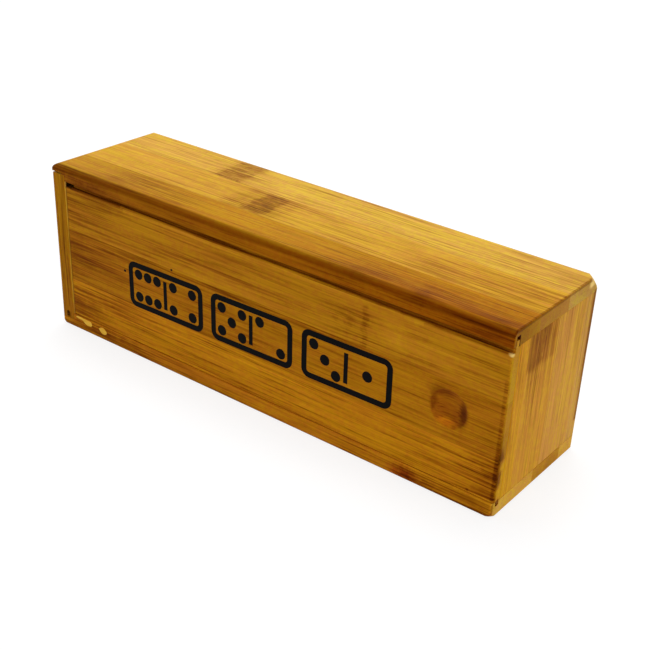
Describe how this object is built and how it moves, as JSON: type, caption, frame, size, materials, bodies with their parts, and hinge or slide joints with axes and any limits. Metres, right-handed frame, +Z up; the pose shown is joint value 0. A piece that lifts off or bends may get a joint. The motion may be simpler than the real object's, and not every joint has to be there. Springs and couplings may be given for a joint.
{
  "type": "domino storage box",
  "caption": "Long bamboo box standing on its side wall, with a grooved front lid that slides out of one end and a round finger dish to push it by.",
  "frame": {"origin": "middle of the footprint, on the surface that the box stands on, at the centre of its length and depth", "axes": "+X along the box towards the end that the lid slides out of, -Y is the way the lid's face looks, +Z up"},
  "size_m": [0.19, 0.0516, 0.0634],
  "materials": {
    "bamboo_golden": "satin lacquer over bamboo, the lightest strips",
    "bamboo_honey": "satin lacquer over bamboo",
    "bamboo_amber": "satin lacquer over bamboo, darker strips",
    "bamboo_toasted": "satin lacquer over bamboo, the darkest strip",
    "print_ink": "thin black printing ink on the lid"
  },
  "bodies": {
    "box": {"top_wall_front_strip": "bamboo_amber", "top_wall_middle_strip": "bamboo_honey", "top_wall_back_strip": "bamboo_golden", "bottom_wall_front_strip": "bamboo_amber", "bottom_wall_second_strip": "bamboo_golden", "bottom_wall_third_strip": "bamboo_toasted", "bottom_wall_back_strip": "bamboo_honey", "left_end_front_strip": "bamboo_honey", "left_end_middle_strip": "bamboo_golden", "left_end_back_strip": "bamboo_amber", "right_end_front_strip": "bamboo_golden", "right_end_second_strip": "bamboo_amber", "right_end_third_strip": "bamboo_golden", "right_end_back_strip": "bamboo_honey", "back_panel_lower_strip": "bamboo_honey", "back_panel_middle_strip": "bamboo_golden", "back_panel_upper_strip": "bamboo_amber"},
    "lid": {"lid_lower_strip": "bamboo_honey", "lid_middle_strip": "bamboo_amber", "lid_upper_strip": "bamboo_golden"}
  },
  "joints": [
    {"name": "lid_slide", "type": "slide", "parent": "box", "child": "lid", "axis": [1, 0, 0], "range_m": [0, 0.186]}
  ]
}
